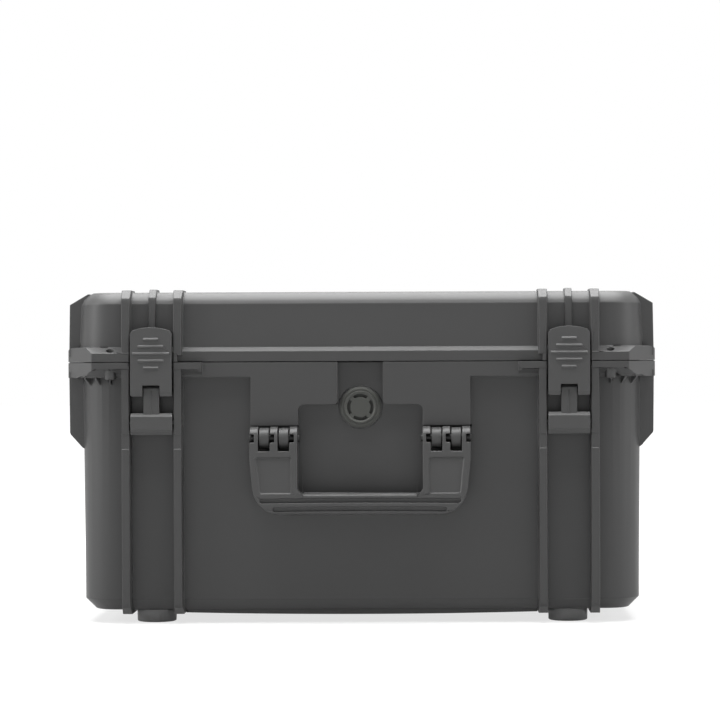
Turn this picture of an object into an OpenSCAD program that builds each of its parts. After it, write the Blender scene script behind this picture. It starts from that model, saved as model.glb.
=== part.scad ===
// Watertight hard case for tools: a deep base and a shallow lid on two rear hinges,
// two over-centre latches, a folding carry handle, a pressure valve and four rubber feet.
// Millimetres. x runs to the right seen from the front, the front faces -y and z is up.
// The feet stand on z = 0 and the middle of the bounding box lies on the z axis.

/* [Overall size] */
// Width over the side flanges
case_w = 555; // [440:5:680]
// Depth from the front of the handle to the back of the hinge barrels
case_d = 428; // [340:4:540]
// Height of the base rim over the floor the case stands on
parting_z = 244.1; // [202:0.1:300]
// Height of the lid over the base rim, up to the flat of its top
lid_h = 65.7; // [54:0.1:90]

/* [Shells] */
// Wall thickness of both shells
wall_t = 4; // [3:0.1:5]
// Plan radius of the upright corners of the base
corner_r = 35; // [30:1:48]
// Draft of the base walls, in degrees
base_draft = 0.5; // [0.3:0.1:1.6]
// Draft of the lid walls, in degrees
lid_draft = 2.8; // [1:0.1:4]
// How far the lid wall stands outside the base wall at the parting line
lid_step = 3.8; // [3:0.1:4.6]
// Width of the sloped edge round the lid top
edge_bevel = 11; // [8:0.5:13.5]
// Width of the sloped edge round the base bottom
floor_bevel = 10; // [8:0.5:12]
// Open line between base and lid
parting_gap = 0.7; // [0.6:0.1:1]

/* [Flange and collar] */
// Reach of the flange at the sides
side_reach = 13.8; // [12.5:0.1:16.6]
// Reach of the front flange round the latches, flush with the ribs
front_flange = 14; // [12:0.5:16]
// Reach of the front flange over the handle, and of the collar
collar_reach = 7.4; // [6:0.2:7.5]
// Reach of the rear flange
rear_flange = 9; // [7:0.5:9.4]
// Height of the level top of the lid flange over the parting line
flange_rise = 14.3; // [12:0.1:17.2]
// Slope of the front and rear of the lid flange, in degrees
flange_slope = 26.4; // [22:0.1:30]
// Height of the raised band at the top of the base collar
band_h = 7; // [5:0.5:9]
// Height of the base collar
collar_h = 14.3; // [12:0.1:18]
// Width of the flat cut across each flange corner, seen from the front
corner_cut = 27.5; // [20:0.5:32]
// Depth of that flat, seen from the side
corner_run = 45; // [32:1:50]
// Half-width of the low part of the front flange
low_flange_x = 147.4; // [110:0.2:155]

/* [Ribs] */
// Distance between the two ribs beside a latch
rib_pitch = 48.4; // [46:0.2:56]
// Width of a rib at the wall
rib_root = 9; // [6.5:0.5:9]
// Width of a rib at its front edge
rib_tip = 7.2; // [6:0.1:7.6]
// How far the ribs stand over the lid top and under the base bottom
rib_over = 2; // [1:0.1:4]
// How far the ribs run over the lid top
rib_run = 30; // [20:1:60]
// Width of the lower rib behind each lever
spine_w = 6.3; // [4:0.1:9]
// Distance of the outer side fins from the front and rear walls
fin_inset = 30; // [26:1:50]
// Half-distance between the two middle fins of a side
fin_mid = 70; // [58:1:85]
// Lower end of the front face of the side fins under the parting line
fin_drop = 67; // [55:1:80]

/* [Latches] */
// Distance of the latch centre lines from the outside of the flange
latch_inset = 83.2; // [80:0.2:95]
// Width of a lever
lever_w = 38.7; // [32:0.1:38.9]
// Top of a lever over the parting line
lever_rise = 32.8; // [29:0.2:38]
// Bottom of a lever under the parting line
lever_drop = 31.5; // [30.5:0.1:33]
// Width of the notch for the link between the legs of a lever
lever_notch = 16; // [15:0.1:20]
// Front face of a lever in front of the wall
lever_face = 16.8; // [15:0.1:18]
// Pin of a lever under the parting line
lever_pin_drop = 26.5; // [26:0.1:27.5]
// Pin of a link under the parting line
link_pin_drop = 56; // [52:0.5:60]
// Both pins in front of the wall
latch_pin_out = 9.5; // [9:0.1:10]
// Width of the upright stem of a link
stem_w = 14.7; // [10:0.1:14.9]
// Width of the cross bar of a link
bar_w = 38.9; // [34:0.1:39]

/* [Carry handle] */
// Pivot of the handle under the parting line
handle_drop = 70.7; // [66:0.1:80]
// Pivot of the handle in front of the wall
handle_out = 13.5; // [13:0.1:15]
// Reach of the handle in front of the wall
handle_reach = 28; // [26:0.5:32]
// Half-width of the handle
handle_x = 102.4; // [99.5:0.1:108]
// Half-width of the opening in the handle
grip_x = 58.1; // [45:0.1:58.1]
// Bottom of the handle under its pivot
handle_len = 71; // [60:0.1:85.2]
// Height of the grip
grip_h = 19.4; // [16:0.1:24]
// Radius of the knuckles of the base round the pivot
knuckle_r = 9.6; // [8:0.1:10.6]
// Width of a knuckle
knuckle_w = 9.1; // [7.6:0.1:10.2]
// Distance between the middles of the two knuckles of an arm
knuckle_pitch = 18.2; // [17:0.1:19]
// Distance from the opening of the handle to the middle of the inner knuckle
knuckle_in = 12.8; // [12.4:0.1:14]
// Radius of the handle pins
handle_pin_r = 3.75; // [3:0.05:4.5]

/* [Valve] */
// Centre of the valve under the parting line
valve_drop = 42.2; // [40:0.2:60]
// Radius of the valve flange
valve_r = 19.2; // [17:0.1:20]
// Radius of the valve cap
cap_r = 15.4; // [13:0.1:15.9]

/* [Hinges] */
// Hinge line behind the rear wall
hinge_out = 17; // [16.6:0.1:20]
// Radius of the hinge barrels
hinge_r = 7; // [5:0.5:7]
// Distance of the lid knuckles from the middle of a hinge
lug_x = 16; // [12:0.5:16]
// Width of a lid knuckle
lug_w = 8; // [6:0.5:9]

/* [Feet and side grips] */
// Diameter of a foot
foot_w = 37.2; // [28:0.1:38]
// Height of the case bottom over the floor
foot_h = 12.2; // [10:0.1:16]
// Drop of the lip of a side grip under the collar
grip_drop = 24; // [12:1:36]

/* [Fits] */
// Radius of the latch and hinge pins
pin_r = 2.5; // [2:0.1:3]
// Radial clearance where a pin is held
held_fit = 0.02; // [0.02:0.01:0.05]
// Radial clearance where a part turns on a pin
turn_fit = 0.06; // [0.05:0.01:0.1]
// Clear gap between parts that pass each other
pass_gap = 0.3; // [0.2:0.1:0.5]
// Radius of the padlock holes
padlock_r = 3.5; // [3:0.1:3.7]

/* [Hidden] */
$fn = 48;
corner_steps = 8;
handle_front = -case_d / 2;
front_y = handle_front + handle_reach;
rear_y = case_d / 2 - hinge_out - hinge_r;
body_x = case_w / 2 - side_reach;
fin_reach = side_reach - 1.4;
body_half_y = (rear_y - front_y) / 2;
body_y = (rear_y + front_y) / 2;
lid_z = parting_z + parting_gap;
lid_top = parting_z + lid_h;
lid_steep = tan(lid_draft);
base_steep = tan(base_draft);
slope = tan(flange_slope);
finger_r = knuckle_r + 1.1;
finger_room = 1.2;
knuckle_gap = 0.9;
window_w = 4.3;
panel_d = 1.3;
groove_d = 3;
grip_edge = 2.6;
knuckle_x = grip_x + knuckle_in;
recess_x = valve_r + 1.9;
bevel_low = foot_h + floor_bevel;
bevel_high = lid_top - edge_bevel;
latch_x = case_w / 2 - latch_inset;
rib_half = rib_pitch / 2;
inner_rib_x = latch_x - rib_half;
pocket_x = rib_half - 2;
lever_z = parting_z - lever_pin_drop;
link_z = parting_z - link_pin_drop;
pivot_z = parting_z - handle_drop;
valve_z = parting_z - valve_drop;
bite = 1.5;
valve_boss = 2.6;
neck_r = 8;
nut_h = 6;
nut_z = -wall_t - valve_boss - nut_h;
vent_angle = 68;
breath_r = 1.8;
stud_r = 6;
stud_h = 2;
land_in = 1.2;
land_w = 1.5;
boss_drop = 1.5;
tongue_u = [-3, -1];
tongue_h = 4;
groove_u = [-5, 1];
groove_h = 7;
lip_u = -8;

// Offset of the base wall from its line at the parting, at a height z.
function base_u(z) = -(parting_z - z) * base_steep;
// The same for the lid wall.
function lid_u(z) = lid_step - (z - lid_z) * lid_steep;
// Height of the sloped front of the lid flange at an offset u: level with its top at the lid wall.
function flange_z(u) = parting_z + flange_rise - (u - lid_step + 0.9) * slope;

// ---------------------------------------------------------------- outlines and sweeps

function unit(v) = v / norm(v);

// Arc of r about c from angle a0 to a1, in n steps.
function arc(c, r, a0, a1, n) =
    [for (i = [0:n]) let (a = a0 + (a1 - a0) * i / n) c + r * [cos(a), sin(a)]];

// Arc that rounds the corner b of the path a-b-c with radius r.
function corner_arc(a, b, c, r, n) =
    let (d1 = unit(a - b), d2 = unit(c - b), half = acos(d1 * d2) / 2,
         m = b + unit(d1 + d2) * r / sin(half),
         p = b + d1 * r / tan(half) - m, q = b + d2 * r / tan(half) - m,
         a1 = atan2(p[1], p[0]),
         turn = (atan2(q[1], q[0]) - a1 + 540) % 360 - 180)
    arc(m, r, a1, a1 + turn, n);

// Closed path through the points [x, y, r], each corner rounded with its own r.
function rounded(pts, n = 5) = [
    for (i = [0:len(pts) - 1])
        let (b = pts[i], a = pts[(i + len(pts) - 1) % len(pts)], c = pts[(i + 1) % len(pts)])
        each (b[2] > 0
            ? corner_arc([a[0], a[1]], [b[0], b[1]], [c[0], c[1]], b[2], n)
            : [[b[0], b[1]]])];

// The case outline seen from above, offset outwards by u, as a ring of points at height z.
function ring(u, z, r = corner_r) =
    let (x = body_x - r, y = body_half_y - r, k = corner_steps)
    [for (q = [[x, y, 0], [-x, y, 90], [-x, -y, 180], [x, -y, 270]])
        for (p = arc([q[0], q[1] + body_y], r + u, q[2], q[2] + 90, k)) [p[0], p[1], z]];

// Skin over rings, closed with a flat at the first ring and at the last one.
module loft(rings) {
    n = len(rings[0]);
    m = len(rings);
    polyhedron(
        points = [for (one = rings) each one],
        faces = concat(
            [[for (i = [0:n - 1]) i], [for (i = [n - 1:-1:0]) (m - 1) * n + i]],
            [for (k = [0:m - 2]) for (i = [0:n - 1]) let (j = (i + 1) % n)
                [k * n + i, (k + 1) * n + i, (k + 1) * n + j, k * n + j]]),
        convexity = 8);
}

// Solid or cup whose section is the list of [u, z] from its first flat to its last flat.
module around(section, r = corner_r) loft([for (p = section) ring(p[0], p[1], r)]);

// Closed section [u, z] carried once round the case, as for a seal.
module hoop(section) {
    n = 4 * (corner_steps + 1);
    m = len(section);
    polyhedron(
        points = [for (p = section) each ring(p[0], p[1])],
        faces = [for (k = [0:m - 1]) for (i = [0:n - 1])
            let (j = (i + 1) % n, l = (k + 1) % m)
            [k * n + i, l * n + i, l * n + j, k * n + j]],
        convexity = 8);
}

// ---------------------------------------------------------------- placing on a wall

// Local frame of a wall: x runs along it, -y points out of it, y = 0 is its line at the parting.
module on_front() translate([0, front_y, 0]) children();
module on_rear() translate([0, rear_y, 0]) rotate([0, 0, 180]) children();
module on_side(s) translate([s * body_x, body_y, 0]) rotate([0, 0, s * 90]) children();
module both_sides(x) for (s = [-1, 1]) translate([s * x, 0, 0]) children();

// Section [u, z] carried along the wall over a width w, centred.
module across(section, w)
    translate([-w / 2, 0, 0]) rotate([90, 0, 90]) linear_extrude(w)
        polygon([for (p = section) [-p[0], p[1]]]);

// Outline [x, z] carried out of the wall from offset u0 to u1.
module outward(outline, u0, u1)
    translate([0, -u0, 0]) rotate([90, 0, 0]) linear_extrude(u1 - u0) polygon(outline);

// Block on a wall: x0 to x1 along it, u0 to u1 out of it, z0 to z1 in height.
module block(x0, x1, u0, u1, z0, z1)
    translate([x0, -u1, z0]) cube([x1 - x0, u1 - u0, z1 - z0]);

// Rod along the wall at offset u and height z.
module rod(u, z, r, w) translate([0, -u, z]) rotate([0, 90, 0]) cylinder(r = r, h = w, center = true);

// Rib with a tapered plan and the section [u, z].
module rib(section, root = rib_root, tip = rib_tip, reach = front_flange)
    intersection() {
        across(section, root + 2);
        linear_extrude(lid_top + 20)
            polygon([[-root / 2, 60], [root / 2, 60], [root / 2, 0], [tip / 2, -reach - 0.01],
                     [-tip / 2, -reach - 0.01], [-root / 2, 0]]);
    }

// ---------------------------------------------------------------- sections of the shells

// Base: from the outside of the floor up the wall, over the rim and its tongue, down inside.
base_section = let (f = bevel_low, u = base_u(bevel_low), t = wall_t, e = floor_bevel) [
    [u - e, foot_h], [u - e * 0.62, foot_h + e * 0.21], [u - e * 0.22, f - e * 0.42], [u, f],
    [0, parting_z], [tongue_u[1], parting_z], [tongue_u[1] - 0.3, parting_z + tongue_h],
    [tongue_u[0] + 0.3, parting_z + tongue_h], [tongue_u[0], parting_z], [-t, parting_z],
    [u - t, f], [u - t - e * 0.3, foot_h + t + e * 0.3], [u - e, foot_h + t]];

// Lid: from the inside of the top down the wall, over the seal groove, up outside.
lid_section = let (f = bevel_high, u = lid_u(bevel_high), t = wall_t, e = edge_bevel,
                   w = lid_u(lid_z + groove_h + 6) - wall_t) [
    [u - e, lid_top - t], [u - t - e * 0.3, lid_top - t - e * 0.3], [u - t, f],
    [w, lid_z + groove_h + 6], [lip_u, lid_z + groove_h], [lip_u, lid_z], [groove_u[0], lid_z],
    [groove_u[0], lid_z + groove_h], [groove_u[1], lid_z + groove_h], [groove_u[1], lid_z],
    [lid_step, lid_z], [u, f], [u - e * 0.22, f + e * 0.42], [u - e * 0.62, lid_top - e * 0.21],
    [u - e, lid_top]];

// Flange seen from above, with a flat cut across each corner, drawn in by q all round.
module flange_plan(q = 0) {
    x = body_x + side_reach - q;
    y0 = front_y - front_flange + q;
    y1 = rear_y + rear_flange - q;
    cut = corner_cut - q / 2;
    run = corner_run - q / 2;
    right = [[x - cut, y0, 2], [x, y0 + run, 2], [x, y1 - run, 2], [x - cut, y1, 2]];
    left = [for (i = [3:-1:0]) [-right[i][0], right[i][1], 2]];
    polygon(rounded(concat(right, left), 3));
}

// The same where the lid meets the base: cut back over the handle, at the valve and the latches.
module meeting_plan(q) difference() {
    flange_plan(q);
    translate([0, front_y]) {
        translate([-inner_rib_x - q, -2 * front_flange]) square([2 * (inner_rib_x + q),
                                                                2 * front_flange - collar_reach + q]);
        translate([-recess_x - q, q - 2 * front_flange]) square([2 * (recess_x + q), 2 * front_flange]);
        for (s = [-1, 1]) translate([s * latch_x - pocket_x - q, -2 * front_flange])
            square([2 * (pocket_x + q), 2 * front_flange - collar_reach + q]);
    }
}

// Sections of the front ribs. They follow the wall, turn under the base and over the lid.
base_rib = let (q = rib_over, e = floor_bevel, top = parting_z - 4, low = bevel_low - 2, s = pivot_z) [
    [-bite, top], [front_flange - 0.1, top],
    [front_flange + base_u(s), s + 4.2], [front_flange + base_u(s) - 0.7, s + 3.6],
    [front_flange + base_u(s) - 0.7, s - 9.6], [front_flange + base_u(s), s - 10.2],
    [front_flange + base_u(low), low], [front_flange + base_u(low) - 2, low - 4.5],
    [1.5, foot_h - q - 0.8], [-1, foot_h - q - 1.3], [-44, foot_h - q - 1.3], [-50, foot_h + bite],
    [base_u(foot_h) - e, foot_h + bite], [base_u(bevel_low) - bite, bevel_low + 1]];

function lid_rib(reach, over, start) = let (e = edge_bevel, f = bevel_high + over,
                                            u = reach + lid_u(f) - lid_step) [
    [lid_u(start) - bite, start], [reach, start], [u, f - 1], [u - e * 0.15, f + e * 0.3],
    [u - e * 0.9, lid_top + over - e * 0.1], [u - e * 1.1, lid_top + over],
    [-rib_run, lid_top + over], [-rib_run - 3 * over, lid_top - bite],
    [-e, lid_top - bite], [lid_u(bevel_high) - bite, bevel_high]];

// Fins of the side walls, on the base and on the lid.
base_fin = let (low = parting_z - fin_drop, u = fin_reach + base_u(parting_z - fin_drop)) [
    [-bite, parting_z - band_h - 1], [fin_reach, parting_z - band_h - 1],
    [u, low + 1.2], [u - 0.6, low - 0.6], [0.4, low - 12.6], [-0.6, low - 13.4], [-bite - 1, low - 14]];
lid_fin = [[lid_step - bite, lid_z + 5], [fin_reach, lid_z + 5],
           [fin_reach - 0.8, bevel_high], [-6, lid_top - 0.7], [-12, lid_top - bite],
           [lid_u(bevel_high) - bite, bevel_high - 1]];

// ---------------------------------------------------------------- base

// Frame of the left (s = -1) or right (s = 1) latch.
module at_latch(s) translate([s * latch_x, 0, 0]) on_front() children();

module collar() {
    z0 = parting_z - collar_h;
    under = parting_z - band_h - 4.4;
    difference() {
        union() {
            around([[collar_reach - 1, z0], [collar_reach, z0 + 1], [collar_reach, parting_z]]);
            difference() {
                intersection() {
                    around([[collar_reach - 2, under - 1.3], [side_reach + 2, parting_z - band_h + 1.7],
                            [side_reach + 2, parting_z]], 20);
                    translate([0, 0, under - 4]) linear_extrude(parting_z - under + 4) flange_plan();
                }
                low_front(low_flange_x, z0 - 1, parting_z + 1);
            }
            // the band grows to the full height of the collar round the corners
            intersection() {
                translate([0, 0, z0]) linear_extrude(collar_h) flange_plan();
                for (s = [-1, 1]) translate([0, case_d, 0]) rotate([90, 0, 0]) linear_extrude(2 * case_d)
                    polygon([for (p = [[-30, -band_h], [-10.5, -collar_h], [2, -collar_h], [2, 0], [-30, 0]])
                             [s * (body_x + side_reach + p[0]), parting_z + p[1]]]);
            }
            for (s = [-1, 1]) translate([0, 0, z0 - boss_drop]) padlock_axis(s)
                cylinder(r = padlock_r + 1.4, h = collar_h);
            on_front() both_sides(low_flange_x + 1.8)
                block(-1.8, 1.8, collar_reach - 1, front_flange - 0.05, under + 3, parting_z - band_h + 2);
        }
        around([[-bite, z0 - 2], [-bite, parting_z + 2]]);
        for (s = [-1, 1]) at_latch(s)
            block(-pocket_x, pocket_x, collar_reach, 30, z0 - 1, parting_z + 1);
        on_front() block(-recess_x, recess_x, 0, 30, z0 - 1, parting_z + 1);
    }
}

// Narrow land on the rim that keeps dirt out of the open line.
module land() translate([0, 0, parting_z - 0.5]) linear_extrude(parting_gap + 0.3) difference() {
    meeting_plan(land_in);
    meeting_plan(land_in + land_w);
}

// Space over the handle where the flange and the band are cut back.
module low_front(half, z0, z1) on_front() block(-half, half, collar_reach, 40, z0, z1);

// Small webs that carry the collar at the upright corners.
module corner_webs(t = 2.4, drop = 6.5) {
    z0 = parting_z - collar_h;
    for (sx = [-1, 1], sy = [-1, 1], a = [8:19:46])
        translate([sx * (body_x - corner_r), body_y + sy * (body_half_y - corner_r), 0])
            rotate([0, 0, sx * sy * (90 - a) + (sx < 0 ? 180 : 0)])
                rotate([90, 0, 0]) translate([0, 0, -t / 2]) linear_extrude(t)
                    polygon([[corner_r - bite, z0 + 2], [corner_r + collar_reach - 0.6, z0 + 2],
                             [corner_r + collar_reach - 0.6, z0 - 0.6], [corner_r + 1, z0 - drop],
                             [corner_r - bite, z0 - drop]]);
}

// Shallow bowed pad under the floor between the inner ribs.
module belly() {
    w = inner_rib_x - 5;
    bow = 2;
    step = 3.1;
    r = (w * w + bow * bow) / (2 * bow);
    a = asin(w / r);
    n = 10;
    pts = concat([[-w, foot_h + bite]],
        [for (i = [-n:n]) let (t = a * i / n) [r * sin(t), foot_h - step - r * cos(t) + r * cos(a)]],
        [[w, foot_h + bite]]);
    on_front() outward(pts, floor_bevel - 2 * body_half_y + 4, -floor_bevel - 4);
}

module hinge_ears() {
    for (s = [-1, 1]) translate([s * latch_x, 0, 0]) on_rear() both_sides(rib_half) {
        rib(base_rib_rear());
        difference() {
            union() {
                rod(hinge_out, parting_z, hinge_r, rib_tip);
                across([[4, parting_z - 6], [hinge_out - 1, parting_z - hinge_r + 0.2],
                        [hinge_out + 5, parting_z - hinge_r + 3], [front_flange - 1, parting_z - 34],
                        [4, parting_z - 34]], rib_tip);
            }
            rod(hinge_out, parting_z, pin_r + held_fit, rib_tip + 2);
        }
    }
}

// The rear ribs stop under the hinge so that the lid knuckles can turn.
function base_rib_rear() = [for (p = base_rib) p[1] > parting_z - 10 ? [p[0], parting_z - 12] : p];

module side_grip(s) on_side(s) {
    z0 = parting_z - collar_h - grip_drop;
    u1 = side_reach - 1;
    across([[u1 - 3, z0], [u1 - 0.4, z0], [u1, z0 + 1], [u1, parting_z - 4], [u1 - 3.5, parting_z - 4]],
        2 * fin_mid + 2);
}

// Knuckle of the handle, round at the front and square to the wall.
module knuckle(x0, x1) {
    translate([(x0 + x1) / 2, 0, 0]) rod(handle_out, pivot_z, knuckle_r, x1 - x0);
    block(x0, x1, -bite, handle_out, pivot_z - knuckle_r + 0.1, pivot_z + knuckle_r - 0.1);
}

// Plates over the knuckles, with the room for the valve left between them.
module handle_plates() {
    low = pivot_z + finger_r + finger_room;
    mid = low + 19;
    for (s = [-1, 1])
        outward([for (p = rounded([[recess_x, parting_z, 1.8], [handle_x + 0.2, parting_z, 0],
                                   [handle_x + 0.2, low, 1], [grip_x, low, 1], [grip_x, mid, 5.5],
                                   [recess_x, mid, 3]], 4))
                 [s * p[0], p[1]]], -bite, collar_reach);
}

module base_shell() color("#3f4142") difference() {
    union() {
        around(base_section);
        collar();
        land();
        corner_webs();
        belly();
        for (s = [-1, 1]) {
            at_latch(s) both_sides(rib_half) rib(base_rib);
            on_side(s) for (y = [-1, 1], k = [fin_mid, body_half_y - fin_inset])
                translate([y * k, 0, 0]) rib(base_fin);
            side_grip(s);
            on_front() for (k = [0, 1]) let (x = s * (knuckle_x + k * knuckle_pitch))
                knuckle(x - knuckle_w / 2, x + knuckle_w / 2);
        }
        on_front() handle_plates();
        on_front() translate([0, 0, valve_z]) rotate([90, 0, 0]) {
            translate([0, 0, -bite]) cylinder(r = valve_r + 1.2, h = bite + 0.6);
            translate([0, 0, -wall_t - valve_boss]) cylinder(r = 15, h = valve_boss + bite);
        }
        hinge_ears();
    }
    for (s = [-1, 1]) {
        at_latch(s) rod(latch_pin_out, link_z, pin_r + held_fit, rib_pitch + 12);
        on_front() translate([s * (grip_x + handle_x) / 2, 0, 0])
            rod(handle_out, pivot_z, handle_pin_r + held_fit, 60);
        padlock_hole(s);
    }
    on_front() translate([0, 0, valve_z]) rotate([90, 0, 0])
        translate([0, 0, -20]) cylinder(r = neck_r + held_fit, h = 40);
    for (p = foot_spots) translate([p[0], p[1], foot_h - 1])
        cylinder(r = stud_r + held_fit, h = stud_h + 1.5);
}

// Upright line of the padlock hole beside the left (s = -1) or right (s = 1) latch.
module padlock_axis(s) translate([s * (latch_x + 38.7), front_y - 8.8, 0]) children();
module padlock_hole(s) padlock_axis(s) translate([0, 0, parting_z - 30]) cylinder(r = padlock_r, h = 60);

// ---------------------------------------------------------------- lid

module lid_flange() {
    x = body_x + side_reach;
    top = parting_z + flange_rise;
    side_top = [[x, lid_z], [x, top - 2.4], [x - 1.6, top - 0.8], [body_x, top], [0, top]];
    difference() {
        intersection() {
            translate([0, 0, lid_z]) linear_extrude(40) flange_plan();
            // nearly level over the sides, with a small chamfer
            translate([0, case_d, 0]) rotate([90, 0, 0]) linear_extrude(2 * case_d)
                polygon(concat(side_top, [for (i = [len(side_top) - 1:-1:0])
                                          [-side_top[i][0], side_top[i][1]]]));
            // sloped over the front and the rear
            translate([-case_w, 0, 0]) rotate([90, 0, 90]) linear_extrude(2 * case_w)
                polygon([[front_y - 30, lid_z], [rear_y + 30, lid_z], [rear_y + 30, flange_z(30)],
                         [rear_y - 30, flange_z(-30)], [front_y + 30, flange_z(-30)],
                         [front_y - 30, flange_z(30)]]);
        }
        around([[groove_u[1] + 0.8, lid_z - 1], [groove_u[1] + 0.4, parting_z + flange_rise + 2]]);
        low_front(inner_rib_x, lid_z - 1, lid_z + 30);
        for (s = [-1, 1]) at_latch(s) block(-pocket_x, pocket_x, collar_reach, 40, lid_z - 1, lid_z + 30);
    }
}

// Lid knuckles between the ears of the base, each on a rib that climbs over the lid.
module hinge_lugs() for (s = [-1, 1]) translate([s * latch_x, 0, 0]) on_rear() both_sides(lug_x) {
    rib(lid_rib(front_flange - 1, rib_over, lid_z + 6), lug_w + 1, lug_w, hinge_out);
    difference() {
        union() {
            rod(hinge_out, parting_z, hinge_r, lug_w);
            across([[3, lid_z + 0.1], [hinge_out, lid_z + 0.1], [hinge_out + hinge_r - 0.6, lid_z + 2],
                    [front_flange - 1.5, lid_z + 24], [3, lid_z + 24]], lug_w);
        }
        rod(hinge_out, parting_z, pin_r + turn_fit, lug_w + 2);
    }
}

module lid_shell() color("#434546") difference() {
    union() {
        around(lid_section);
        lid_flange();
        hinge_lugs();
        for (s = [-1, 1]) {
            at_latch(s) {
                both_sides(rib_half) rib(lid_rib(front_flange - 0.1, rib_over, lid_z + 6));
                rib(lid_rib(collar_reach - 0.1, rib_over + 0.8, lid_z + 8), spine_w + 0.6, spine_w,
                    collar_reach);
            }
            on_side(s) for (y = [-1, 1], k = [fin_mid, body_half_y - fin_inset])
                translate([y * k, 0, 0]) rib(lid_fin);
        }
    }
    for (s = [-1, 1]) padlock_hole(s);
}

// Foam-rubber seal lying in the groove of the lid, over the tongue of the base.
module lid_seal() color("#1b1c1c") hoop([
    [groove_u[0], lid_z + groove_h], [groove_u[0], lid_z + groove_h - 2],
    [groove_u[0] + 0.8, parting_z + tongue_h + 0.2], [groove_u[1] - 0.8, parting_z + tongue_h + 0.2],
    [groove_u[1], lid_z + groove_h - 2], [groove_u[1], lid_z + groove_h]]);

// ---------------------------------------------------------------- latches

// Outline of a lever seen from the front: bowed top, two legs.
function lever_outline() = let (
    w = lever_w / 2, top = parting_z + lever_rise, low = parting_z - lever_drop, sag = 4,
    r = (w * w + sag * sag) / (2 * sag), a = asin((w - 2) / r)) concat(
    [for (i = [-6:6]) let (t = a * i / 6) [-r * sin(t), top - r + r * cos(t)]],
    rounded([[-w, top - sag - 1, 1], [-w, low, 1.5], [-lever_notch / 2, low, 1],
             [-lever_notch / 2, low + 10.3, 0.6], [lever_notch / 2, low + 10.3, 0.6],
             [lever_notch / 2, low, 1], [w, low, 1.5], [w, top - sag - 1, 1]], 3));

module lever(s) at_latch(s) {
    top = parting_z + lever_rise;
    low = parting_z - lever_drop;
    back = collar_reach + pass_gap;
    face = lever_face;
    rim = 3.2;
    web = 2.5;
    difference() {
        union() {
            intersection() {
                outward(lever_outline(), 0, 40);
                across([[back, top + 1], [face - 4, top + 1], [face - 1, top - 4], [face, top - 10],
                        [face, lever_z - 1], [face - 2, low], [latch_pin_out - 4, low],
                        [latch_pin_out - 5, lever_z - 1], [latch_pin_out - 5, lever_z + 4],
                        [back, lever_z + 11]], lever_w + 2);
            }
            // grip ridges, longest in the middle
            for (i = [-2:2]) translate([0, 0, parting_z + 8.3 - 6.6 * i])
                intersection() {
                    across([[face - 1, -1.7], [face, -1.7], [face + 1.1, -1], [face + 1.1, 0.2],
                            [face, 1.5], [face - 1, 1.5]], 34.3);
                    outward([[-(17.2 - 5 * abs(i)), -4], [17.2 - 5 * abs(i), -4],
                             [17 - 5 * abs(i), 4], [-(17 - 5 * abs(i)), 4]], 0, 30);
                }
        }
        // hollow back, left open between the hook bar and the pin legs
        block(-lever_w / 2 + rim, lever_w / 2 - rim, 0, face - 3, parting_z + 20.5, top - 7);
        for (k = [-1, 1]) let (x = (lever_w / 2 - rim + web) / 2, w = lever_w / 2 - rim - web)
            block(k * x - w / 2, k * x + w / 2, 0, face - 3, lever_z + 9, parting_z + 14.3);
        rod(latch_pin_out, lever_z, pin_r + turn_fit, lever_w + 4);
    }
}

// T-shaped link: an upright stem for the lever pin and a cross bar that turns in the ribs.
module link(s) at_latch(s) {
    top = lever_z + 5;
    u = latch_pin_out;
    difference() {
        union() {
            across(rounded([[u - 4.6, link_z - 4, 1], [u + 3.6, link_z - 4, 1], [u + 3.6, top - 2.5, 2.4],
                            [u + 1, top, 1.5], [u - 2, top, 1.5], [u - 4.6, top - 3.5, 2.4]], 3), stem_w);
            across([[u - 5.4, link_z + 9], [u + 0.8, link_z + 9], [u + 5.4, link_z + 5.9],
                    [u + 5.4, link_z - 6.3], [u + 3.8, link_z - 8.4], [u + 3.8, link_z - 11.2],
                    [u + 1.6, link_z - 11.2], [u + 0.6, link_z - 8], [u - 4, link_z - 7],
                    [u - 7, link_z - 3], [u - 7.4, link_z + 3]], bar_w);
            // fine bead down the middle of the stem
            block(-0.4, 0.4, u + 3, u + 4, link_z + 8, top - 5);
        }
        rod(u, lever_z, pin_r + turn_fit, stem_w + 2);
        rod(u, link_z, pin_r + turn_fit, bar_w + 2);
    }
}

module latch_pin(s, z, w) at_latch(s) rod(latch_pin_out, z, pin_r, w);

module latch_lever_left() color("#484a4b") lever(-1);
module latch_lever_right() color("#484a4b") lever(1);
module latch_link_left() color("#484a4b") link(-1);
module latch_link_right() color("#484a4b") link(1);
module lever_pin_left() color("#b9bcbe") latch_pin(-1, lever_z, lever_w - 0.8);
module lever_pin_right() color("#b9bcbe") latch_pin(1, lever_z, lever_w - 0.8);
module link_pin_left() color("#b9bcbe") latch_pin(-1, link_z, rib_pitch + 6);
module link_pin_right() color("#b9bcbe") latch_pin(1, link_z, rib_pitch + 6);

// ---------------------------------------------------------------- hinge pins

module hinge_pin(s) translate([s * latch_x, 0, 0]) on_rear()
    rod(hinge_out, parting_z, pin_r, rib_pitch + rib_tip + 1);
module hinge_pin_left() color("#b9bcbe") hinge_pin(-1);
module hinge_pin_right() color("#b9bcbe") hinge_pin(1);

// ---------------------------------------------------------------- carry handle

// Handle seen from the front: two wide arms and a grip between them.
function handle_outline() = let (low = pivot_z - handle_len, top = pivot_z + finger_r + 1,
                                 g = low + grip_h) rounded([
    [-handle_x, top, 0], [-handle_x, pivot_z - 20, 30], [5 - handle_x, low, 27],
    [handle_x - 5, low, 27], [handle_x, pivot_z - 20, 30], [handle_x, top, 0],
    [grip_x, top, 0], [grip_x, g, 6], [-grip_x, g, 6], [-grip_x, top, 0]], 5);

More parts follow.
